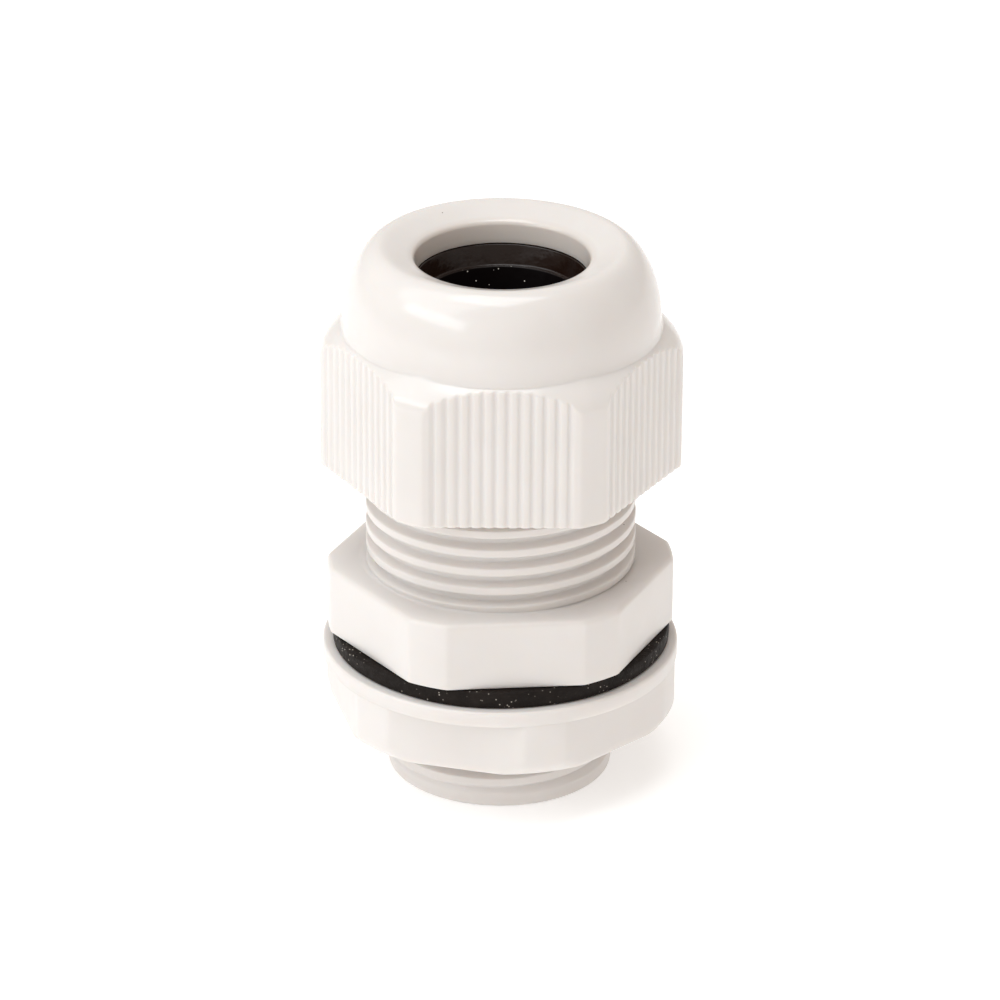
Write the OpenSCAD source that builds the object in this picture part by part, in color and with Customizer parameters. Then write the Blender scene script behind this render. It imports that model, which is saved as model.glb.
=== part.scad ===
// Nylon cable gland with a Pg 9 entry thread, standing on its entry end.
// Origin at the centre of the lower end, +Z along the cable.

/* [Spanner sizes] */
// Across flats of the hex on the body
body_across_flats = 22; // [21.6:0.1:22.4]
// Across flats of the dome nut, over its grip ribs
nut_across_flats = 22.36; // [22.3:0.02:22.6]
// Across flats of the locknut
locknut_across_flats = 22.6; // [22:0.1:23]

/* [Threads] */
// Pitch of both threads, eighteen turns to the inch
thread_pitch = 1.411; // [1.4:0.001:1.42]
// Outside diameter of the entry thread
entry_thread_d = 15.2; // [15:0.05:15.3]
// Outside diameter of the thread that carries the dome nut
dome_thread_d = 18.6; // [18.4:0.02:18.7]
// Radial depth of both threads
thread_depth = 0.67; // [0.6:0.01:0.7]
// Radial clearance between an outside and an inside thread
thread_clearance = 0.13; // [0.11:0.01:0.15]

/* [Heights] */
// Length of the entry thread and its neck, below the body hex
entry_length = 10.8; // [10.6:0.02:11.1]
// Thickness of the body hex
body_hex_height = 4.85; // [4.7:0.01:5]
// Length of the thread above the body hex
dome_thread_length = 9.47; // [9.3:0.01:9.6]
// Gap left between the body hex and the dome nut as the nut stands
nut_gap = 7.17; // [7.1:0.01:7.3]
// Height of the dome nut
nut_height = 15.96; // [15.8:0.01:16.1]
// Height of the dome nut's grip band, below its shoulder
nut_grip_height = 8.6; // [8.4:0.1:8.8]

/* [Passage] */
// Radius of the cable passage through the body
passage_r = 5.1; // [4.8:0.05:5.2]
// Radius of the seal's bore when it is slack
seal_bore_r = 4.1; // [4:0.05:4.2]
// Radius of the opening in the top of the dome nut
opening_r = 5.85; // [5.75:0.05:5.9]

/* [Clamping fingers] */
// Number of fingers in the claw
finger_count = 10; // [10:1:10]
// Height of a finger above the body
finger_height = 5.45; // [5.2:0.05:5.5]
// Width of the slot between two fingers
finger_slot = 0.8; // [0.75:0.05:1]
// Inward lean of the fingers as the nut stands
finger_lean = 4.2; // [4:0.1:4.4]

/* [Gasket and locknut] */
// Radius of the flat gasket
gasket_r = 11.68; // [11.5:0.02:11.8]
// Thickness of the flat gasket
gasket_thickness = 1.16; // [1.1:0.02:1.2]
// Radius of the locknut's flange
flange_r = 12.32; // [12.2:0.02:12.4]
// Height of the locknut
locknut_height = 5.04; // [5:0.02:5.1]

/* [Hidden] */

face_gap = 0.04;
segments = 40;

nylon = [0.93, 0.92, 0.90];
rubber = [0.05, 0.05, 0.05];

// Turn of each hex about the axis, in degrees; zero puts a flat square to -Y
body_turn = 5.5;
locknut_turn = -15.5;

hex_top = entry_length + body_hex_height;
body_top = hex_top + dome_thread_length;
nut_bottom = hex_top + nut_gap;
nut_top = nut_bottom + nut_height;
shoulder_bottom = nut_bottom + nut_grip_height;
shoulder_top = shoulder_bottom + 1.9;
gasket_bottom = entry_length - face_gap - gasket_thickness;
locknut_top = gasket_bottom - face_gap;
locknut_bottom = locknut_top - locknut_height;

// Entry end: a plain pilot, then the thread, then a plain neck under the hex
pilot_height = 1.3;
// Height of the cone on the pilot's top, and how far the thread starts inside the pilot
pilot_cone = 0.6;
thread_overlap = 0.2;
neck_height = 0.82;
// Plain stretch above the dome nut's thread
plain_top_height = 0.5;
flange_height = 1.06;

// Grip grooves on each flat of the dome nut
groove_count = 12;
groove_pitch = 0.816;
groove_width = 0.36;
groove_depth = 0.24;

// The dome's crest is a circle, with the dome outside it and the lip of the opening inside it
dome_crest_r = 8.3;
dome_rise = 4.8;
lip_width = dome_crest_r - opening_r;
lip_drop = 1.4;
arc_steps = 12;

body_corner_r = 11.96;
nut_corner_r = 12.4;
dome_r = 10.9;
entry_r = entry_thread_d / 2;
dome_thread_r = dome_thread_d / 2;
end_r = 7.1;
neck_r = entry_r - thread_depth - 0.2;
plain_top_r = dome_thread_r - thread_depth - 0.15;

// Heights inside the dome nut
nut_thread_bottom = nut_bottom + 0.6;
nut_thread_top = nut_bottom + 8.25;
cone_bottom = nut_thread_top + 0.6;
lip_height = 2.3;
collar_height = 1.93;
seal_top = nut_top - lip_height - face_gap;
pocket_bottom = seal_top - collar_height;
pocket_r = 6.55;

// Seal
collar_r = 6.4;
seal_r = 6.1;
seal_waist_r = 5.3;
seal_foot_gap = 1.29;
seal_bottom = body_top + seal_foot_gap;
seat_height = body_top - 3.5;
seat_r = 6.45;

// Claw
hinge_r = 7.25;
hinge_pin_r = 0.5;
finger_inner_r = 6.55;
finger_outer_r = 8.15;
finger_tip_r = 7.65;

// The locknut's thread has its crests bored off, so that it passes over the pilot
locknut_bore_r = end_r + 0.1;

// ---- helpers -------------------------------------------------------------

// Hex prism with a flat square to -Y, standing on z
module hex_prism(across_flats, z, height) {
    translate([0, 0, z]) cylinder(r = across_flats / 2 / cos(30), h = height, $fn = 6);
}

// Trapezoid thread profile: share of the pitch, and share of the depth that is left standing
profile = [[0.00, 1], [0.34, 1], [0.54, 0], [0.80, 0]];

// Radius of profile point k of a thread
function thread_r(k, crest_r, depth) = crest_r - depth * (1 - profile[k][1]);

// Points of one right-hand helical surface, four to a step, from z_start up
function thread_points(crest_r, depth, z_start, turns, phase) = [
    for (s = [0 : turns * segments - 1], k = [0 : 3])
        let (a = 360 * s / segments + phase, r = thread_r(k, crest_r, depth))
        [r * cos(a), r * sin(a), z_start + thread_pitch * (s / segments + profile[k][0])]
];

// A solid whose side is a helical thread; its ends are cones that are cut off afterwards.
// Row k of step s joins row k + 1, and the last row joins the first row one turn on.
module thread_solid(crest_r, depth, z_start, turns, phase) {
    steps = turns * segments;
    points = thread_points(crest_r, depth, z_start, turns, phase);
    low = len(points);
    high = low + 1;
    apexes = [[0, 0, z_start - 3], [0, 0, z_start + thread_pitch * (turns + 1) + 3]];
    // Index of profile row k (0 to 4) at step s; row 4 is row 0 one turn on
    function at(s, k) = k < 4 ? 4 * s + k : 4 * (s + segments);
    side = [
        for (s = [0 : steps - 2], k = [0 : 3])
            if (k < 3 || s + 1 + segments < steps)
                each [[at(s, k), at(s, k + 1), at(s + 1, k + 1)],
                      [at(s, k), at(s + 1, k + 1), at(s + 1, k)]]
    ];
    bottom_fan = [for (s = [0 : segments - 1]) [low, at(s, 0), at(s + 1, 0)]];
    bottom_step = [for (k = [0 : 3]) [low, at(0, k + 1), at(0, k)]];
    first_top = steps - segments - 1;
    top_fan = [for (s = [first_top : steps - 2]) [high, at(s + 1, 3), at(s, 3)]];
    top_step = [
        [high, at(first_top, 3), at(steps - 1, 0)],
        for (k = [0 : 2]) [high, at(steps - 1, k), at(steps - 1, k + 1)]
    ];
    polyhedron(points = concat(points, apexes),
               faces = concat(side, bottom_fan, bottom_step, top_fan, top_step));
}

// The thread between two heights, with flat ends. Every thread on one axis has its helix
// counted from z_mesh, so an outside and an inside thread are in mesh as drawn.
module thread_between(crest_r, z_low, z_high, z_mesh) {
    lead = thread_pitch * ceil((z_mesh - z_low) / thread_pitch + 2);
    turns = ceil((z_high - z_low) / thread_pitch) + 4;
    intersection() {
        thread_solid(crest_r, thread_depth, z_mesh - lead, turns, 0);
        translate([0, 0, z_low]) cylinder(r = crest_r + 2, h = z_high - z_low, $fn = 96);
    }
}

// Tube between two heights, or a disc when inner_r is 0
module ring(outer_r, inner_r, z_low, z_high) {
    translate([0, 0, z_low]) difference() {
        cylinder(r = outer_r, h = z_high - z_low, $fn = 96);
        if (inner_r > 0)
            translate([0, 0, -1]) cylinder(r = inner_r, h = z_high - z_low + 2, $fn = 96);
    }
}

// Disc whose two rims are bevelled, for cutting the corners off a hex
module bevelled_disc(r, z_low, z_high, bevel_low, bevel_high) {
    rotate_extrude($fn = 96) polygon([
        [0, z_low],
        [r - bevel_low[0], z_low],
        [r, z_low + bevel_low[1]],
        [r, z_high - bevel_high[1]],
        [r - bevel_high[0], z_high],
        [0, z_high]
    ]);
}

// ---- gland body ----------------------------------------------------------

module entry_part() {
    rotate_extrude($fn = 96) polygon([
        [0, 0], [end_r - 0.35, 0], [end_r, 0.35],
        [end_r, pilot_height], [end_r - pilot_cone, pilot_height + pilot_cone],
        [0, pilot_height + pilot_cone]
    ]);
    thread_between(entry_r, pilot_height - thread_overlap, entry_length - neck_height, entry_length);
    ring(neck_r, 0, entry_length - neck_height, entry_length);
}

module body_hex() {
    intersection() {
        rotate([0, 0, body_turn]) hex_prism(body_across_flats, entry_length, body_hex_height);
        bevelled_disc(body_corner_r, entry_length, hex_top, [0.12, 0.12], [0.2, 0.2]);
    }
}

module dome_thread_part() {
    thread_between(dome_thread_r, hex_top, body_top - plain_top_height, hex_top);
    ring(plain_top_r, 0, body_top - plain_top_height, body_top);
}

// Straight grooves in the top face, one for the round foot of each finger
module finger_grooves() {
    groove_length = 4.1;
    for (k = [1 : finger_count])
        rotate([0, 0, finger_angle(k)])
            translate([hinge_r, groove_length / 2, body_top])
                rotate([90, 0, 0])
                    cylinder(r = hinge_pin_r + 0.05, h = groove_length, $fn = 32);
}

module gland_body() {
    color(nylon) difference() {
        union() {
            entry_part();
            body_hex();
            dome_thread_part();
            ring(neck_r - 0.1, 0, 0.2, body_top - 0.2);
        }
        translate([0, 0, -1]) cylinder(r = passage_r, h = body_top + 2, $fn = 96);
        translate([0, 0, seat_height]) cylinder(r = seat_r, h = body_top, $fn = 96);
        finger_grooves();
    }
}

// ---- claw fingers --------------------------------------------------------

function finger_angle(k) = 360 / finger_count * (k - 0.5) - 90;

// Upright outline of a finger in radius and height above the body
finger_outline = [
    [hinge_r - 0.4, 0.25],
    [hinge_r + 0.4, 0.25],
    [hinge_r + 0.4, 0.7],
    [finger_outer_r, 1.3],
    [finger_tip_r, finger_height - 0.4],
    [hinge_r, finger_height],
    [finger_inner_r, finger_height],
    [finger_inner_r, 1.0],
    [hinge_r - 0.4, 0.7]
];

// Wedge with one side on each neighbouring slot's wall, around +X
module finger_wedge() {
    half = 180 / finger_count;
    reach = 12;
    near = finger_slot / 2 / sin(half);
    translate([0, 0, body_top]) linear_extrude(finger_height + 1) polygon([
        [near, 0],
        [near + reach * cos(half), reach * sin(half)],
        [near + reach * cos(half), -reach * sin(half)]
    ]);
}

// One finger, leaning inward about its foot
module claw_finger(k) {
    foot_length = 3;
    color(nylon) rotate([0, 0, finger_angle(k)])
        translate([hinge_r, 0, body_top]) rotate([0, -finger_lean, 0])
            translate([-hinge_r, 0, -body_top]) {
                intersection() {
                    translate([0, 0, body_top])
                        rotate_extrude($fn = 96) polygon(finger_outline);
                    finger_wedge();
                }
                translate([hinge_r, foot_length / 2, body_top]) rotate([90, 0, 0])
                    cylinder(r = hinge_pin_r, h = foot_length, $fn = 32);
            }
}

// ---- dome nut ------------------------------------------------------------

// One flat of the grip band, from its left corner to just short of its right corner
function flat_outline(apothem) = [
    [-apothem * tan(30), -apothem],
    for (g = [0 : groove_count - 1])
        let (x = (g - (groove_count - 1) / 2) * groove_pitch)
        each [
            [x - groove_width / 2, -apothem],
            [x - groove_width / 4, -apothem + groove_depth],
            [x + groove_width / 4, -apothem + groove_depth],
            [x + groove_width / 2, -apothem]
        ]
];

function turned(point, a) = [
    point[0] * cos(a) - point[1] * sin(a),
    point[0] * sin(a) + point[1] * cos(a)
];

module grip_outline() {
    apothem = nut_across_flats / 2;
    polygon([for (side = [0 : 5]) for (p = flat_outline(apothem)) turned(p, 60 * side)]);
}

// Outside of the nut in radius and height, from the lower rim over the dome into the lip
function nut_profile() = [
    [0, nut_bottom],
    [nut_corner_r, nut_bottom],
    [nut_corner_r, shoulder_bottom],
    [dome_r, shoulder_top],
    for (i = [0 : arc_steps])
        let (a = 90 * i / arc_steps)
        [dome_crest_r + (dome_r - 0.15 - dome_crest_r) * cos(a),
         nut_top - dome_rise + dome_rise * sin(a)],
    for (i = [1 : arc_steps / 2])
        let (a = 90 + 180 * i / arc_steps)
        [dome_crest_r + lip_width * cos(a), nut_top - lip_drop + lip_drop * sin(a)],
    [0, nut_top - lip_drop]
];

module nut_outside() {
    intersection() {
        translate([0, 0, nut_bottom - 1]) linear_extrude(nut_height + 2) grip_outline();
        rotate_extrude($fn = 96) polygon(nut_profile());
    }
}

// Everything that is hollow in the nut above its thread
module nut_hollow() {
    relief_r = dome_thread_r + thread_clearance + 0.1;
    rotate_extrude($fn = 96) polygon([
        [0, nut_thread_top],
        [relief_r, nut_thread_top],
        [relief_r, cone_bottom],
        [8.6, cone_bottom],
        [pocket_r, pocket_bottom],
        [pocket_r, seal_top + face_gap],
        [opening_r, seal_top + face_gap],
        [opening_r, nut_top + 1],
        [0, nut_top + 1]
    ]);
}

module dome_nut() {
    relief_r = dome_thread_r + thread_clearance + 0.1;
    color(nylon) difference() {
        nut_outside();
        ring(relief_r, 0, nut_bottom - 1, nut_thread_bottom);
        thread_between(dome_thread_r + thread_clearance, nut_thread_bottom, nut_thread_top, hex_top);
        nut_hollow();
    }
}

// ---- seal, gasket and locknut --------------------------------------------

module seal_insert() {
    funnel_r = opening_r - 0.1;
    color(rubber) rotate_extrude($fn = 96) polygon([
        [seal_bore_r, seal_bottom],
        [seal_r - 0.3, seal_bottom],
        [seal_r, seal_bottom + 0.3],
        [seal_r, seal_bottom + 3],
        [seal_waist_r, pocket_bottom - 0.1],
        [collar_r, pocket_bottom + 0.1],
        [collar_r, seal_top],
        [funnel_r, seal_top],
        [funnel_r - 0.35, seal_top - 1.35],
        [seal_bore_r, seal_top - 2.6]
    ]);
}

module flat_gasket() {
    color(rubber) ring(gasket_r, entry_r + 0.15, gasket_bottom, gasket_bottom + gasket_thickness);
}

module locknut_outside() {
    ring(flange_r, 0, locknut_top - flange_height, locknut_top);
    intersection() {
        rotate([0, 0, locknut_turn])
            hex_prism(locknut_across_flats, locknut_bottom, locknut_height - 0.5);
        bevelled_disc(flange_r, locknut_bottom, locknut_top - flange_height + 0.3, [0.2, 0.2], [0.3, 0.3]);
    }
}

module locknut() {
    lead_r = entry_r + 0.2;
    lead = 0.5;
    color(nylon) difference() {
        locknut_outside();
        thread_between(entry_r + thread_clearance, locknut_bottom + lead, locknut_top - lead, entry_length);
        ring(locknut_bore_r, 0, locknut_bottom - 1, locknut_top + 1);
        ring(lead_r, 0, locknut_bottom - 1, locknut_bottom + lead);
        ring(lead_r, 0, locknut_top - lead, locknut_top + 1);
    }
}

gland_body();
dome_nut();
seal_insert();
flat_gasket();
locknut();
claw_finger(1);  // claw_finger_1
claw_finger(2);  // claw_finger_2
claw_finger(3);  // claw_finger_3
claw_finger(4);  // claw_finger_4
claw_finger(5);  // claw_finger_5
claw_finger(6);  // claw_finger_6
claw_finger(7);  // claw_finger_7
claw_finger(8);  // claw_finger_8
claw_finger(9);  // claw_finger_9
claw_finger(10);  // claw_finger_10
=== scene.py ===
"""Looks of a nylon cable gland: parametric meshes, moulded nylon, black rubber, studio light and camera."""

import math

import bpy
import numpy as np
from mathutils import Matrix, Vector


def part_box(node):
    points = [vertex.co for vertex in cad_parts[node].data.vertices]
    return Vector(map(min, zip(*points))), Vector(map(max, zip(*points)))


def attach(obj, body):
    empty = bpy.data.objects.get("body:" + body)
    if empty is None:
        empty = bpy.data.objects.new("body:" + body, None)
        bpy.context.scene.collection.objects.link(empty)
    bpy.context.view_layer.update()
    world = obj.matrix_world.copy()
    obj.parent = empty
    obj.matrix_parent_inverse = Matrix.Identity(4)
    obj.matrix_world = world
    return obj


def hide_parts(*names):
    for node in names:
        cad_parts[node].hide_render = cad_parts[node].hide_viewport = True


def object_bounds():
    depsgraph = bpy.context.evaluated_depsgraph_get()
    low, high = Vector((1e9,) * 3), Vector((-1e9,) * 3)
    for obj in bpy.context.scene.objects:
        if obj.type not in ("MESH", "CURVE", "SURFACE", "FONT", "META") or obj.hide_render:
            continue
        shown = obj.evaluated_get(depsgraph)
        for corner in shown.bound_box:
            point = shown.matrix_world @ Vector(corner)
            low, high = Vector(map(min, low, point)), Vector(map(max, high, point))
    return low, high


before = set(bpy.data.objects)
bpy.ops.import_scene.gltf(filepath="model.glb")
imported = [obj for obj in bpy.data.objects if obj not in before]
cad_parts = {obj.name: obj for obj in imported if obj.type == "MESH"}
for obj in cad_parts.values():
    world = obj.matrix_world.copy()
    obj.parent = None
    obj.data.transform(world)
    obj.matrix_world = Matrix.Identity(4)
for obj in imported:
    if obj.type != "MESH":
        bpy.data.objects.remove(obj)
CAD_LOW, CAD_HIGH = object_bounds()

MM = 0.001  # meshes are worked out in millimetres, and Blender holds metres


def heights(node):
    """Lowest and highest z of a CAD node, in millimetres."""
    low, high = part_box(node)
    return low[2] / MM, high[2] / MM


# ---- sizes, in millimetres ---------------------------------------------------------------

# Spanner sizes as half the distance across flats, and the circles that cut the hex corners off
NUT_APOTHEM = 11.18
NUT_CORNER_R = 12.4
BODY_APOTHEM = 11.0
BODY_CORNER_R = 11.96
LOCKNUT_APOTHEM = 11.3
FLANGE_R = 12.32
BODY_TURN = math.radians(5.5)
LOCKNUT_TURN = math.radians(-15.5)

# Both threads. The crest and each flank are shares of the pitch, and the root takes the rest
PITCH = 1.411
THREAD_DEPTH = 0.67
THREAD_CREST_SHARE = 0.34
THREAD_FLANK_SHARE = 0.20
THREAD_CLEARANCE = 0.13
ENTRY_THREAD_R = 7.7
DOME_THREAD_R = 9.3

# The body's plain lower end, and its way through
END_R = 7.78
PASSAGE_R = 5.1
SEAT_R = 6.45

BODY_BOTTOM, BODY_TOP = heights("gland_body")
NUT_BOTTOM, NUT_TOP = heights("dome_nut")
SEAL_BOTTOM, SEAL_TOP = heights("seal_insert")
GASKET_BOTTOM, GASKET_TOP = heights("flat_gasket")
LOCKNUT_BOTTOM, LOCKNUT_TOP = heights("locknut")
FACE_GAP = 0.04
HEX_HEIGHT = 4.85
HEX_BOTTOM = GASKET_TOP + FACE_GAP
HEX_TOP = HEX_BOTTOM + HEX_HEIGHT
SEAT_DEPTH = 3.5
SEAT_BOTTOM = BODY_TOP - SEAT_DEPTH

# Rounding of a rim that is left all but sharp
SHARP = 0.001

# ---- meshes made of rings ----------------------------------------------------------------


def ring_solid(name, rings):
    """A closed ring-shaped solid. Each ring is an array of points, in millimetres, once round the axis.
    The rings run up the outside and back down the inside, and the last one joins the first."""
    columns = len(rings[0])
    count = len(rings)
    points = np.concatenate(rings) * MM
    column = np.arange(columns)
    following = (column + 1) % columns
    faces = []
    for j in range(count):
        here = j * columns
        above = (j + 1) % count * columns
        faces.append(
            np.stack([here + column, here + following, above + following, above + column], axis=1)
        )
    mesh = bpy.data.meshes.new(name)
    mesh.from_pydata(points.tolist(), [], np.concatenate(faces).tolist())
    mesh.polygons.foreach_set("use_smooth", [True] * len(mesh.polygons))
    mesh.update()
    piece = bpy.data.objects.new(name, mesh)
    bpy.context.scene.collection.objects.link(piece)
    return piece


def ring(angles, radius, z):
    """One ring of points. radius and z are numbers, or one value for each angle."""
    r = np.broadcast_to(np.asarray(radius, float), angles.shape)
    h = np.broadcast_to(np.asarray(z, float), angles.shape)
    return np.stack([r * np.cos(angles), r * np.sin(angles), h], axis=1)


def rings_along(angles, outline):
    """Rings of a surface of revolution, from points of radius and height."""
    return [ring(angles, r, z) for r, z in outline]


def rounded(corners, step_degrees=15):
    """An outline of (radius, height, rounding) corners with each corner turned into an arc."""
    outline = []
    last = len(corners) - 1
    for i, (r, z, rounding) in enumerate(corners):
        if rounding == 0 or i in (0, last):
            outline.append((r, z))
            continue
        here = np.array([r, z])
        back = np.array(corners[i - 1][:2]) - here
        ahead = np.array(corners[i + 1][:2]) - here
        back_length, ahead_length = np.linalg.norm(back), np.linalg.norm(ahead)
        back, ahead = back / back_length, ahead / ahead_length
        opening = math.acos(float(np.clip(back @ ahead, -1, 1)))
        reach = rounding / math.tan(opening / 2)
        reach = min(reach, 0.49 * back_length, 0.49 * ahead_length)
        radius = reach * math.tan(opening / 2)
        middle = (back + ahead) / np.linalg.norm(back + ahead)
        centre = here + middle * radius / math.sin(opening / 2)
        start = here + back * reach - centre
        end = here + ahead * reach - centre
        sweep = math.pi - opening
        steps = max(2, round(math.degrees(sweep) / step_degrees))
        for k in range(steps + 1):
            t = k / steps
            point = centre + (
                start * math.sin((1 - t) * sweep) + end * math.sin(t * sweep)
            ) / math.sin(sweep)
            outline.append(tuple(point))
    return outline


def across(angles, from_radius, to_radius, z):
    """Rings that cross a flat face between two outlines, without the outlines themselves."""
    return [ring(angles, from_radius + (to_radius - from_radius) * t, z) for t in (0.25, 0.5, 0.75)]


def rim_of(side_ring):
    """Radius of each point of a ring."""
    return np.hypot(side_ring[:, 0], side_ring[:, 1])


def angles_round(columns):
    """Evenly spaced angles, once round."""
    return np.linspace(0, 2 * math.pi, columns, endpoint=False)


def soft_min(a, b, softness):
    """The smaller of two radii, with the edge between them rounded over about softness."""
    h = np.clip(0.5 + 0.5 * (b - a) / softness, 0, 1)
    return b + (a - b) * h - softness * h * (1 - h)


def smooth_step(t):
    """0 up to t = 0, 1 from t = 1, and a smooth rise between them."""
    t = np.clip(t, 0, 1)
    return t * t * (3 - 2 * t)


def hex_radius(angles, apothem, turn):
    """Radius of a hexagon that has a flat square to -Y when turn is 0."""
    return apothem / np.cos(from_flat(angles, turn))


def from_flat(angles, turn):
    """Angle from the middle of the nearest flat of a hexagon."""
    sixth = math.pi / 3
    return (angles - turn - math.pi / 2 + sixth / 2) % sixth - sixth / 2


def rolled_in(z, low, high, low_round, high_round):
    """How far a side wall stands back at height z, for a quarter-round at each end."""
    inset = 0.0
    for distance, radius in ((z - low, low_round), (high - z, high_round)):
        if distance < radius:
            inset += radius - math.sqrt(max(radius**2 - (radius - distance) ** 2, 0))
    return inset


def round_levels(low, high, low_round, high_round, between, steps=4):
    """Heights of the rings up a side wall, closer together over the rounded ends."""
    bends = [1 - math.cos(math.pi / 2 * k / steps) for k in range(steps + 1)]
    foot = [low + low_round * b for b in bends]
    head = [high - high_round * b for b in reversed(bends)]
    middle = np.linspace(foot[-1], head[0], between + 2)[1:-1].tolist()
    return foot + middle + head


def thread_radius(angles, z, crest_r, origin):
    """Radius at height z of a right-hand thread whose helix is counted from the height origin."""
    turn = ((z - origin) / PITCH - angles / (2 * math.pi)) % 1.0
    falling = smooth_step((turn - THREAD_CREST_SHARE) / THREAD_FLANK_SHARE)
    rising = smooth_step((turn - (1 - THREAD_FLANK_SHARE)) / THREAD_FLANK_SHARE)
    return crest_r - THREAD_DEPTH * (falling - rising)


# ---- gland body --------------------------------------------------------------------------

# Heights that the two helices are counted from
ENTRY_ORIGIN = HEX_BOTTOM - 0.34
DOME_ORIGIN = HEX_TOP + 0.30

# Height of the plain end, and how far the thread takes to grow out of it or fade at the top
END_HEIGHT = 0.9
RUN_IN_HEIGHT = 1.3
RUN_OUT_HEIGHT = 0.9
THREAD_RING_STEP = 0.055

NECK_HEIGHT = 0.82
NECK_R = ENTRY_THREAD_R - THREAD_DEPTH - 0.2
PLAIN_TOP_HEIGHT = 0.5
PLAIN_TOP_R = DOME_THREAD_R - THREAD_DEPTH - 0.15
FOOT_CHANNEL_R = 7.95
FOOT_CHANNEL_DEPTH = 0.6

# Height over which a hex's lower corners are cut further back
CUT_HEIGHT = 0.9


def hex_side(angles, apothem, corner_r, turn, low, high, low_round, high_round, softness, cut=0.0):
    """Rings up the side of a hex with its corners cut to a circle and its rims rounded.
    cut is how much further the corners are cut back at the lower end."""
    rings = []
    for z in round_levels(low, high, low_round, high_round, between=8):
        inset = rolled_in(z, low, high, low_round, high_round)
        flat = hex_radius(angles, apothem - inset, turn)
        corner = corner_r - inset - cut * max(0.0, 1 - (z - low) / CUT_HEIGHT) ** 1.6
        rings.append(ring(angles, soft_min(flat, corner, softness), z))
    return rings


def entry_thread_rings(angles):
    """The plain lower end, the thread that grows out of it, and the neck under the hex."""
    end_top = BODY_BOTTOM + END_HEIGHT
    thread_top = HEX_BOTTOM - NECK_HEIGHT
    rings = rings_along(angles, rounded([
        (PASSAGE_R, BODY_BOTTOM + 0.6, 0),
        (PASSAGE_R, BODY_BOTTOM, 0.25),
        (END_R, BODY_BOTTOM, 0.32),
        (END_R, end_top - 0.05, 0),
    ]))
    for z in np.arange(end_top, thread_top, THREAD_RING_STEP):
        wall = thread_radius(angles, z, ENTRY_THREAD_R, ENTRY_ORIGIN)
        grown = smooth_step((z - end_top) / RUN_IN_HEIGHT)
        rings.append(ring(angles, END_R + (wall - END_R) * grown, z))
    rings.append(ring(angles, NECK_R, thread_top + 0.1))
    rings.append(ring(angles, NECK_R, HEX_BOTTOM))
    return rings


def dome_thread_rings(angles):
    """The thread above the hex, fading into a plain top."""
    rings = []
    thread_top = BODY_TOP - PLAIN_TOP_HEIGHT
    for z in np.arange(HEX_TOP, thread_top, THREAD_RING_STEP):
        wall = thread_radius(angles, z, DOME_THREAD_R, DOME_ORIGIN)
        left = smooth_step((thread_top - z) / RUN_OUT_HEIGHT)
        rings.append(ring(angles, PLAIN_TOP_R + (wall - PLAIN_TOP_R) * left, z))
    return rings


def make_body():
    """The body: entry thread, hex, upper thread, then down through the claw's seat and the passage."""
    angles = angles_round(480)
    side = hex_side(
        angles, BODY_APOTHEM, BODY_CORNER_R, BODY_TURN, HEX_BOTTOM, HEX_TOP,
        low_round=0.12, high_round=0.38, softness=0.06,
    )
    thread_foot = thread_radius(angles, HEX_TOP, DOME_THREAD_R, DOME_ORIGIN)
    rings = entry_thread_rings(angles)
    rings += across(angles, NECK_R, rim_of(side[0]), HEX_BOTTOM)
    rings += side
    rings += across(angles, rim_of(side[-1]), thread_foot, HEX_TOP)
    rings += dome_thread_rings(angles)
    rings += rings_along(angles, rounded([
        (PLAIN_TOP_R, BODY_TOP - PLAIN_TOP_HEIGHT, 0),
        (PLAIN_TOP_R, BODY_TOP, 0.1),
        (FOOT_CHANNEL_R, BODY_TOP, 0.05),
        (FOOT_CHANNEL_R, BODY_TOP - FOOT_CHANNEL_DEPTH, 0.05),
        (SEAT_R, BODY_TOP - FOOT_CHANNEL_DEPTH, 0.05),
        (SEAT_R, SEAT_BOTTOM, 0.3),
        (PASSAGE_R, SEAT_BOTTOM, 0.3),
        (PASSAGE_R, HEX_BOTTOM, 0),
        (PASSAGE_R, BODY_BOTTOM + 1.2, 0),
    ]))
    piece = ring_solid("body_moulding", rings)
    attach(piece, "gland_body")
    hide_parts("gland_body")
    return piece


# ---- dome nut ----------------------------------------------------------------------------

# Grooves of the grip, on every flat
GROOVE_COUNT = 12
GROOVE_PITCH = 0.834
GROOVE_WIDTH = 0.42
GROOVE_DEPTH = 0.12
GROOVE_COLUMNS = 8
CORNER_COLUMNS = 40
GRIP_ROW = GROOVE_COUNT / 2 * GROOVE_PITCH
NUT_RIM_ROUND = 0.18

# The skirt between the hex and the dome: heights above the nut's lower face
SKIRT_RINGS_FROM = 7.4
SHOULDER_START = 8.1
SHOULDER_HEIGHT = 10.25
SHOULDER_DIP = 0.15

# The dome, its crest and the opening
DOME_FOOT_R = 10.92
DOME_SIDE_R = 10.85
DOME_SIDE_HEIGHT = 0.75
DOME_POWER = 1.11
CREST_R = 8.3
LIP_SLOPE = 0.38
OPENING_R = 5.85
LIP_HEIGHT = 2.3

# The nut's inside: the pocket for the seal's collar, the cone, and the thread, with heights above
# the nut's lower face
POCKET_R = 6.55
COLLAR_HEIGHT = 1.93
CONE_FOOT_R = 8.6
CONE_BOTTOM_HEIGHT = 8.85
INNER_THREAD_TOP = 8.25
INNER_THREAD_BOTTOM = 0.6
INNER_THREAD_CREST_R = DOME_THREAD_R + THREAD_CLEARANCE


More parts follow.
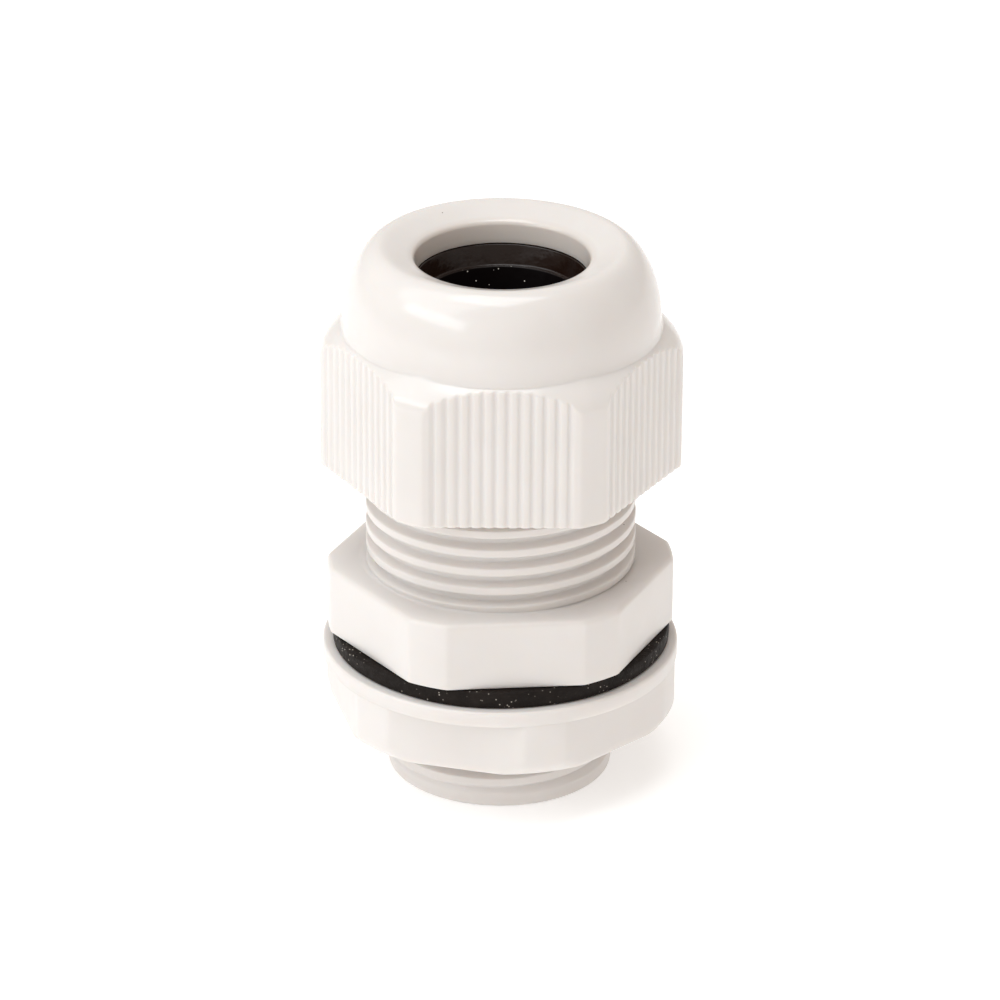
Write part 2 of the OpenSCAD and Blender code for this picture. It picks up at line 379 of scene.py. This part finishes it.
def grip_depth(angles):
    """Depth of the grip grooves at each angle: a row of rounded grooves across every flat."""
    across_flat = NUT_APOTHEM * np.tan(from_flat(angles, 0.0))
    place = (across_flat / GROOVE_PITCH + GROOVE_COUNT / 2) % 1.0 - 0.5
    hollow = np.clip(1 - (np.abs(place) * GROOVE_PITCH / (GROOVE_WIDTH / 2)) ** 2, 0, 1)
    return np.where(np.abs(across_flat) < GRIP_ROW, GROOVE_DEPTH * np.sqrt(hollow), 0.0)


def nut_angles():
    """Angles round the nut, with enough to each groove, the same on every flat."""
    span = math.atan(GRIP_ROW / NUT_APOTHEM)
    places = np.linspace(-1, 1, GROOVE_COLUMNS * GROOVE_COUNT, endpoint=False)
    grooves = np.arctan(places * GRIP_ROW / NUT_APOTHEM)
    corner = np.linspace(span, math.pi / 3 - span, CORNER_COLUMNS, endpoint=False)
    one_flat = np.concatenate([grooves, corner])
    return np.concatenate([one_flat - math.pi / 2 + math.pi / 3 * k for k in range(6)])


def shoulder_radius(angles, z):
    """Radius of the convex skirt between the grip band and the foot of the dome. It dips a little
    over the middle of each flat."""
    middle = 1 - (from_flat(angles, 0.0) / (math.pi / 6)) ** 2
    start = NUT_BOTTOM + SHOULDER_START
    share = (z + SHOULDER_DIP * middle - start) / (NUT_BOTTOM + SHOULDER_HEIGHT - start)
    return NUT_CORNER_R - (NUT_CORNER_R - DOME_FOOT_R) * np.clip(share, 0, 1) ** 2


def grip_rings(angles):
    """The ribbed hex band and the shoulder above it."""
    rings = []
    flat = hex_radius(angles, NUT_APOTHEM, 0.0)
    depth = grip_depth(angles)
    top = NUT_BOTTOM + SHOULDER_HEIGHT
    skirt = NUT_BOTTOM + SKIRT_RINGS_FROM
    levels = round_levels(NUT_BOTTOM, skirt, NUT_RIM_ROUND, SHARP, between=8)
    levels += np.linspace(skirt + 0.1, top, 40)[:-1].tolist()
    for z in levels:
        inset = rolled_in(z, NUT_BOTTOM, top, NUT_RIM_ROUND, SHARP)
        wall = soft_min(flat - depth - inset, NUT_CORNER_R - inset, 0.10)
        rings.append(ring(angles, soft_min(wall, shoulder_radius(angles, z), 0.07), z))
    return rings


def dome_outline():
    """The dome from its foot to its crest, then the lip, which falls gently inward from the crest
    and rolls over into the wall of the opening."""
    foot = NUT_BOTTOM + SHOULDER_HEIGHT
    side_foot = foot + DOME_SIDE_HEIGHT
    outline = [(DOME_FOOT_R, foot), (DOME_SIDE_R + 0.02, foot + 0.16), (DOME_SIDE_R, foot + 0.45)]
    steps = 30
    for k in range(steps + 1):
        a = math.pi / 2 * k / steps
        outline.append((
            CREST_R + (DOME_SIDE_R - CREST_R) * math.cos(a) ** DOME_POWER,
            side_foot + (NUT_TOP - side_foot) * math.sin(a) ** DOME_POWER,
        ))
    for inward in np.linspace(0.15, 1.9, 10):
        fall = LIP_SLOPE * (math.hypot(inward, 0.4) - 0.4)
        outline.append((CREST_R - inward, NUT_TOP - fall))
    outline += rounded([
        (*outline.pop(), 0),
        (OPENING_R + 0.12, NUT_TOP - 0.80, 0.55),
        (OPENING_R, NUT_TOP - LIP_HEIGHT + 0.35, 0),
    ], 8)
    return outline


def nut_inside(angles):
    """Down the inside of the nut: seal pocket, cone, relief, inside thread and lead-in."""
    lip_z = NUT_TOP - LIP_HEIGHT
    cone_bottom = NUT_BOTTOM + CONE_BOTTOM_HEIGHT
    thread_top = NUT_BOTTOM + INNER_THREAD_TOP
    thread_bottom = NUT_BOTTOM + INNER_THREAD_BOTTOM
    relief_r = INNER_THREAD_CREST_R + 0.1
    rings = rings_along(angles, rounded([
        (OPENING_R, lip_z + 0.3, 0),
        (OPENING_R, lip_z, 0.08),
        (POCKET_R, lip_z, 0.05),
        (POCKET_R, lip_z - FACE_GAP - COLLAR_HEIGHT, 0.3),
        (CONE_FOOT_R, cone_bottom, 0.1),
        (relief_r, cone_bottom, 0.05),
        (relief_r, thread_top, 0),
    ]))
    for z in np.arange(thread_top, thread_bottom, -0.085):
        rings.append(ring(angles, thread_radius(angles, z, INNER_THREAD_CREST_R, DOME_ORIGIN), z))
    rings += rings_along(angles, rounded([
        (relief_r, thread_bottom, 0),
        (relief_r, NUT_BOTTOM + 0.15, 0),
        (relief_r + 0.12, NUT_BOTTOM, 0),
    ]))
    return rings


def make_nut():
    """The dome nut, from its lower face up the outside and down the inside."""
    angles = nut_angles()
    side = grip_rings(angles)
    rings = across(angles, INNER_THREAD_CREST_R + 0.22, rim_of(side[0]), NUT_BOTTOM)
    rings += side
    rings += rings_along(angles, dome_outline())
    rings += nut_inside(angles)
    piece = ring_solid("nut_moulding", rings)
    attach(piece, "dome_nut")
    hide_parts("dome_nut")
    return piece


# ---- locknut, gasket and seal ------------------------------------------------------------

FLANGE_HEIGHT = 1.06
LOCKNUT_BORE_R = 7.4
LOCKNUT_CORNER_CUT = 0.6

# The bevel at each end of the locknut's bore, and how far in from the face its thread starts
LEAD_IN = 0.2
LEAD_LENGTH = 0.5

GASKET_R = 11.65
GASKET_BULGE = 0.06
GASKET_BORE_R = ENTRY_THREAD_R + 0.15

SEAL_BORE_R = 4.1
SEAL_R = 6.1
SEAL_WAIST_R = 5.3
SEAL_COLLAR_R = 6.4

# How far below the seal's top the step round its mouth lies, and the end of its funnel
SEAL_STEP_DEPTH = 1.42
SEAL_FUNNEL_DEPTH = 3.2


def make_locknut():
    """The locknut: a hex with a round flange and a thread inside, whose ridges stop at LOCKNUT_BORE_R."""
    angles = angles_round(480)
    under = LOCKNUT_TOP - FLANGE_HEIGHT
    crest_r = ENTRY_THREAD_R + THREAD_CLEARANCE
    lead_r = crest_r + 0.1
    side = hex_side(
        angles, LOCKNUT_APOTHEM, FLANGE_R - 0.03, LOCKNUT_TURN, LOCKNUT_BOTTOM, under,
        low_round=0.25, high_round=SHARP, softness=0.08, cut=LOCKNUT_CORNER_CUT,
    )
    rings = across(angles, lead_r + LEAD_IN, rim_of(side[0]), LOCKNUT_BOTTOM)
    rings += side
    rings += rings_along(angles, rounded([
        (FLANGE_R - 0.02, under, 0),
        (FLANGE_R, under + 0.02, 0),
        (FLANGE_R, LOCKNUT_TOP, 0.2),
        (lead_r + LEAD_IN, LOCKNUT_TOP, 0),
        (lead_r, LOCKNUT_TOP - LEAD_IN, 0),
        (lead_r, LOCKNUT_TOP - LEAD_LENGTH, 0),
    ]))
    for z in np.arange(LOCKNUT_TOP - LEAD_LENGTH, LOCKNUT_BOTTOM + LEAD_LENGTH, -0.07):
        wall = thread_radius(angles, z, crest_r, ENTRY_ORIGIN)
        rings.append(ring(angles, np.maximum(wall, LOCKNUT_BORE_R), z))
    rings += rings_along(angles, [
        (lead_r, LOCKNUT_BOTTOM + LEAD_LENGTH),
        (lead_r, LOCKNUT_BOTTOM + LEAD_IN),
        (lead_r + LEAD_IN, LOCKNUT_BOTTOM),
    ])
    piece = ring_solid("locknut_moulding", rings)
    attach(piece, "locknut")
    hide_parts("locknut")
    return piece


def make_gasket():
    """The flat gasket: bulged at its edge, and a little out of round, as cut rubber is."""
    angles = angles_round(360)
    middle = (GASKET_BOTTOM + GASKET_TOP) / 2
    edge = 0.05 * np.sin(3 * angles + 0.4) + 0.03 * np.sin(7 * angles + 1.9)
    outline = rounded([
        (GASKET_BORE_R, GASKET_BOTTOM, 0.08),
        (GASKET_R, GASKET_BOTTOM, 0.16),
        (GASKET_R + GASKET_BULGE, middle, 0.5),
        (GASKET_R, GASKET_TOP, 0.16),
        (GASKET_BORE_R, GASKET_TOP, 0.08),
        (GASKET_BORE_R, middle, 0),
    ])
    rings = [
        ring(angles, r + edge * smooth_step((r - GASKET_BORE_R) / (GASKET_R - GASKET_BORE_R)), z)
        for r, z in outline
    ]
    piece = ring_solid("gasket_ring", rings)
    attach(piece, "gasket")
    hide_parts("flat_gasket")
    return piece


def make_seal():
    """The seal: a sleeve with a collar at the top, a step round its mouth and a funnel below it."""
    angles = angles_round(360)
    collar_bottom = SEAL_TOP - COLLAR_HEIGHT
    outline = rounded([
        (SEAL_BORE_R, SEAL_BOTTOM, 0.15),
        (SEAL_R, SEAL_BOTTOM, 0.3),
        (SEAL_R, SEAL_BOTTOM + 3, 1.0),
        (SEAL_WAIST_R, collar_bottom - 0.1, 0.2),
        (SEAL_COLLAR_R, collar_bottom + 0.1, 0.1),
        (SEAL_COLLAR_R, SEAL_TOP, 0.15),
        (OPENING_R - 0.06, SEAL_TOP, 0.08),
        (OPENING_R - 0.42, SEAL_TOP - SEAL_STEP_DEPTH + 0.07, 0.12),
        (OPENING_R - 0.62, SEAL_TOP - SEAL_STEP_DEPTH, 0.1),
        (SEAL_BORE_R, SEAL_TOP - SEAL_FUNNEL_DEPTH, 0.5),
        (SEAL_BORE_R, SEAL_BOTTOM + 0.5, 0),
    ])
    piece = ring_solid("seal_moulding", rings_along(angles, outline))
    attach(piece, "seal")
    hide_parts("seal_insert")
    return piece


# ---- materials ---------------------------------------------------------------------------

# Linear colours
NYLON_TONES = (0.700, 0.668, 0.645, 1), (0.722, 0.692, 0.671, 1)
# Painted shade: the darker colour that the nut's nylon takes round its opening, where shade falls
NYLON_PAINTED_SHADE = (0.66, 0.605, 0.56, 1)
NYLON_SPECK = (0.06, 0.04, 0.03, 1)
GASKET_TONES = (0.005, 0.003, 0.002, 1), (0.012, 0.008, 0.006, 1)
GASKET_DUST = (0.62, 0.57, 0.50, 1)
SEAL_FUNNEL_TONE = (0.002, 0.001, 0.001, 1)
SEAL_MOUTH_TONE = (0.012, 0.005, 0.003, 1)
SEAL_DUST = (0.6, 0.56, 0.5, 1)
PAPER = (0.93, 0.93, 0.93, 1)
WHITE = (1, 1, 1, 1)

FLOOR_GLOW = 0.31


class Nodes:
    """Short names for building a material out of shader nodes."""

    def __init__(self, name):
        self.material = bpy.data.materials.new(name)
        self.material.use_nodes = True
        self.tree = self.material.node_tree
        self.shader = self.tree.nodes["Principled BSDF"]
        self.place = self.add("ShaderNodeTexCoord").outputs["Object"]

    def add(self, kind, inputs=None, **settings):
        """A new node, with links or numbers for its inputs and values for its settings."""
        node = self.tree.nodes.new(kind)
        for key, value in settings.items():
            setattr(node, key, value)
        for key, value in (inputs or {}).items():
            if isinstance(value, bpy.types.NodeSocket):
                self.tree.links.new(value, node.inputs[key])
            else:
                node.inputs[key].default_value = value
        return node

    def noise(self, size_mm, detail, roughness=0.5):
        """Noise from 0 to 1 whose lumps are about size_mm across."""
        inputs = {"Vector": self.place, "Scale": 1 / (size_mm * MM), "Detail": detail,
                  "Roughness": roughness}
        return self.add("ShaderNodeTexNoise", inputs).outputs["Fac"]

    def ramp(self, value, low, high, out_low=0.0, out_high=1.0):
        """A value taken from low..high to out_low..out_high and held at the ends."""
        inputs = {"Value": value, "From Min": low, "From Max": high, "To Min": out_low,
                  "To Max": out_high}
        return self.add("ShaderNodeMapRange", inputs).outputs["Result"]

    def math(self, operation, a, b):
        """The result of one operation on two numbers or links."""
        node = self.add("ShaderNodeMath", {0: a, 1: b}, operation=operation)
        return node.outputs["Value"]

    def mix(self, share, a, b):
        """Colour a where share is 0, and b where it is 1."""
        node = self.add("ShaderNodeMix", data_type="RGBA")
        for socket, value in ((node.inputs[0], share), (node.inputs[6], a), (node.inputs[7], b)):
            if isinstance(value, bpy.types.NodeSocket):
                self.tree.links.new(value, socket)
            else:
                socket.default_value = value
        return node.outputs[2]

    def specks(self, cell_mm, radius_mm, share):
        """1 inside round specks, one in each of a share of random cells, and 0 elsewhere."""
        inputs = {"Vector": self.place, "Scale": 1 / (cell_mm * MM)}
        cells = self.add("ShaderNodeTexVoronoi", inputs)
        reach = radius_mm / cell_mm
        dot = self.ramp(cells.outputs["Distance"], 0.6 * reach, reach, 1.0, 0.0)
        split = self.add("ShaderNodeSeparateColor", {"Color": cells.outputs["Color"]})
        chosen = self.math("LESS_THAN", split.outputs[0], share)
        return self.math("MULTIPLY", dot, chosen)

    def bump(self, height, distance_mm):
        """A normal bent by a height from 0 to 1, where 1 is distance_mm high."""
        inputs = {"Height": height, "Distance": distance_mm * MM, "Strength": 1.0}
        return self.add("ShaderNodeBump", inputs).outputs["Normal"]

    def set(self, **inputs):
        """Sets the shader's sockets: colours, numbers or links."""
        for key, value in inputs.items():
            socket = self.shader.inputs[key.replace("_", " ")]
            if isinstance(value, bpy.types.NodeSocket):
                self.tree.links.new(value, socket)
            else:
                socket.default_value = value


def nylon(name, roughness, grain, painted_shade_radii=None):
    """Moulded off-white nylon: faint cloudiness, a skin whose bumps are grain millimetres high, and
    sparse dark specks. The optional pair of radii, in millimetres, paints shade into the colour:
    the painted shade is darkest inside the first radius and gone outside the second."""
    n = Nodes(name)
    cloud = n.ramp(n.noise(6.0, 3.0), 0.35, 0.65)
    base_colour = n.mix(cloud, *NYLON_TONES)
    # Painted shade: between the two radii the colour darkens towards the axis, standing in for the shade
    # inside the opening
    if painted_shade_radii:
        flat = n.add("ShaderNodeVectorMath", {0: n.place, 1: (1.0, 1.0, 0.0)}, operation="MULTIPLY")
        radius = n.add("ShaderNodeVectorMath", {0: flat.outputs["Vector"]}, operation="LENGTH")
        painted_shade_share = n.ramp(radius.outputs["Value"], painted_shade_radii[1] * MM, painted_shade_radii[0] * MM)
        base_colour = n.mix(painted_shade_share, base_colour, NYLON_PAINTED_SHADE)
    n.set(Base_Color=n.mix(n.specks(2.1, 0.055, 0.22), base_colour, NYLON_SPECK))
    n.set(Roughness=n.ramp(n.noise(1.6, 4.0, 0.6), 0.3, 0.7, roughness - 0.05, roughness + 0.07))
    flow = n.math("MULTIPLY", n.noise(2.5, 1.0), 0.7)
    fine = n.math("MULTIPLY", n.noise(0.16, 3.0, 0.65), 0.3)
    n.set(Normal=n.bump(n.math("ADD", flow, fine), grain))
    n.set(IOR=1.52, Subsurface_Weight=0.35, Subsurface_Radius=(1.0, 0.72, 0.52))
    n.set(Subsurface_Scale=0.7 * MM)
    return n.material


def gasket_rubber():
    """Matt black rubber with pale dust in its pores."""
    n = Nodes("gasket_rubber")
    tone = n.mix(n.ramp(n.noise(1.4, 3.0), 0.3, 0.7), *GASKET_TONES)
    spread = n.ramp(n.noise(2.2, 1.0), 0.38, 0.62)
    dust = n.math("MULTIPLY", n.specks(0.26, 0.06, 0.5), spread)
    n.set(Base_Color=n.mix(n.math("MULTIPLY", dust, 0.75), tone, GASKET_DUST))
    n.set(Roughness=n.ramp(n.noise(0.5, 3.0), 0.3, 0.7, 0.50, 0.72))
    n.set(Normal=n.bump(n.noise(0.22, 4.0, 0.7), 0.05), IOR=1.5, Specular_IOR_Level=0.16)
    return n.material


def seal_rubber():
    """Black rubber: glossy round the mouth, matt and dusty down the funnel."""
    n = Nodes("seal_rubber")
    height = n.add("ShaderNodeSeparateXYZ", {"Vector": n.place}).outputs["Z"]
    step = SEAL_TOP - SEAL_STEP_DEPTH
    polished = n.ramp(height, (step - 0.05) * MM, (step + 0.04) * MM)
    matt = n.math("SUBTRACT", 1.0, polished)
    tone = n.mix(polished, SEAL_FUNNEL_TONE, SEAL_MOUTH_TONE)
    dust = n.math("MULTIPLY", n.specks(0.30, 0.055, 0.16), matt)
    n.set(Base_Color=n.mix(dust, tone, SEAL_DUST))
    dull = n.ramp(n.noise(0.6, 3.0), 0.3, 0.7, 0.42, 0.62)
    shine = n.ramp(n.noise(0.9, 2.0), 0.3, 0.7, 0.13, 0.20)
    n.set(Roughness=n.math("ADD", n.math("MULTIPLY", dull, matt), n.math("MULTIPLY", shine, polished)))
    n.set(Normal=n.bump(n.noise(0.8, 2.0), 0.03), IOR=1.5)
    n.set(Specular_IOR_Level=n.ramp(polished, 0.0, 1.0, 0.02, 0.34))
    return n.material


def floor_paper():
    """Pale paper that glows a little, so that it stays near white under soft light."""
    n = Nodes("floor_paper")
    n.set(Base_Color=PAPER, Roughness=0.95, Specular_IOR_Level=0.0)
    n.set(Emission_Color=WHITE, Emission_Strength=FLOOR_GLOW)
    return n.material


def paint(piece, material):
    """Gives a piece one material."""
    piece.data.materials.clear()
    piece.data.materials.append(material)


# ---- camera, light and floor -------------------------------------------------------------

CAMERA_HEIGHT_ANGLE = math.radians(24.898)
CAMERA_ROLL = math.radians(0.33)
CAMERA_DISTANCE = 400.0
CAMERA_SIDESTEP = -0.06
AIM_HEIGHT = 19.787
LENS = 209.19
SENSOR_WIDTH = 36
LIGHT_DISTANCE = 500.0
COOL_WHITE = (0.90, 0.96, 1.0)
PALE_COOL_WHITE = (0.92, 0.97, 1.0)
WARM_AIR = (1.0, 0.92, 0.85, 1)
AIR_STRENGTH = 0.62
FLOOR_HALF_SIDE = 1.5  # in metres


def make_camera():
    """A long lens in front of the object and above it."""
    lens = bpy.data.cameras.new("camera")
    lens.lens = LENS
    lens.sensor_width = SENSOR_WIDTH
    lens.clip_start = 0.01
    camera = bpy.data.objects.new("camera", lens)
    bpy.context.scene.collection.objects.link(camera)
    place = Matrix.Translation(Vector((
        CAMERA_SIDESTEP,
        -CAMERA_DISTANCE * math.cos(CAMERA_HEIGHT_ANGLE),
        AIM_HEIGHT + CAMERA_DISTANCE * math.sin(CAMERA_HEIGHT_ANGLE),
    )) * MM)
    tilt = Matrix.Rotation(math.pi / 2 - CAMERA_HEIGHT_ANGLE, 4, "X")
    camera.matrix_world = place @ tilt @ Matrix.Rotation(CAMERA_ROLL, 4, "Z")
    bpy.context.scene.camera = camera


def make_softbox(name, azimuth, height_angle, width_mm, depth_mm, watts, colour):
    """A rectangular soft light that faces the middle of the object. Azimuth 0 is in front of it."""
    light = bpy.data.lights.new(name, "AREA")
    light.shape = "RECTANGLE"
    light.size = width_mm * MM
    light.size_y = depth_mm * MM
    light.energy = watts
    light.color = colour
    lamp = bpy.data.objects.new(name, light)
    bpy.context.scene.collection.objects.link(lamp)
    azimuth, height_angle = math.radians(azimuth), math.radians(height_angle)
    aim = Vector((0, 0, AIM_HEIGHT)) * MM
    out = Vector((
        math.sin(azimuth) * math.cos(height_angle),
        -math.cos(azimuth) * math.cos(height_angle),
        math.sin(height_angle),
    ))
    lamp.location = aim + out * LIGHT_DISTANCE * MM
    lamp.rotation_euler = out.to_track_quat("Z", "Y").to_euler()


def make_world():
    """The even, slightly warm light of the room."""
    world = bpy.data.worlds.new("studio")
    world.use_nodes = True
    background = world.node_tree.nodes["Background"]
    background.inputs["Color"].default_value = WARM_AIR
    background.inputs["Strength"].default_value = AIR_STRENGTH
    bpy.context.scene.world = world


def make_floor():
    """A plain pale floor just under the object."""
    half = FLOOR_HALF_SIDE
    mesh = bpy.data.meshes.new("floor")
    corners = [(-half, -half, 0), (half, -half, 0), (half, half, 0), (-half, half, 0)]
    mesh.from_pydata(corners, [], [(0, 1, 2, 3)])
    floor = bpy.data.objects.new("floor", mesh)
    bpy.context.scene.collection.objects.link(floor)
    floor.location.z = CAD_LOW[2] - 0.02 * MM
    paint(floor, floor_paper())


# ---- the object --------------------------------------------------------------------------

# The nut's nylon has shade painted into the wall of its opening
nut_nylon = nylon("nylon_nut", roughness=0.15, grain=0.006, painted_shade_radii=(5.9, 6.5))
body_nylon = nylon("nylon_body", roughness=0.34, grain=0.018)
locknut_nylon = nylon("nylon_locknut", roughness=0.36, grain=0.020)

paint(make_body(), body_nylon)
paint(make_nut(), nut_nylon)
paint(make_locknut(), locknut_nylon)
paint(make_gasket(), gasket_rubber())
paint(make_seal(), seal_rubber())
for node_name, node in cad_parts.items():
    if node_name.startswith("claw_finger"):
        for slot in node.material_slots:
            slot.material = body_nylon

make_camera()
make_floor()
make_world()
make_softbox("key", -70, 54, width_mm=420, depth_mm=420, watts=0.86, colour=COOL_WHITE)
make_softbox("strip", -55, 28, width_mm=440, depth_mm=100, watts=0.46, colour=COOL_WHITE)
make_softbox("overhead", -30, 84, width_mm=300, depth_mm=300, watts=0.95, colour=PALE_COOL_WHITE)
bpy.context.scene.view_settings.view_transform = "Standard"
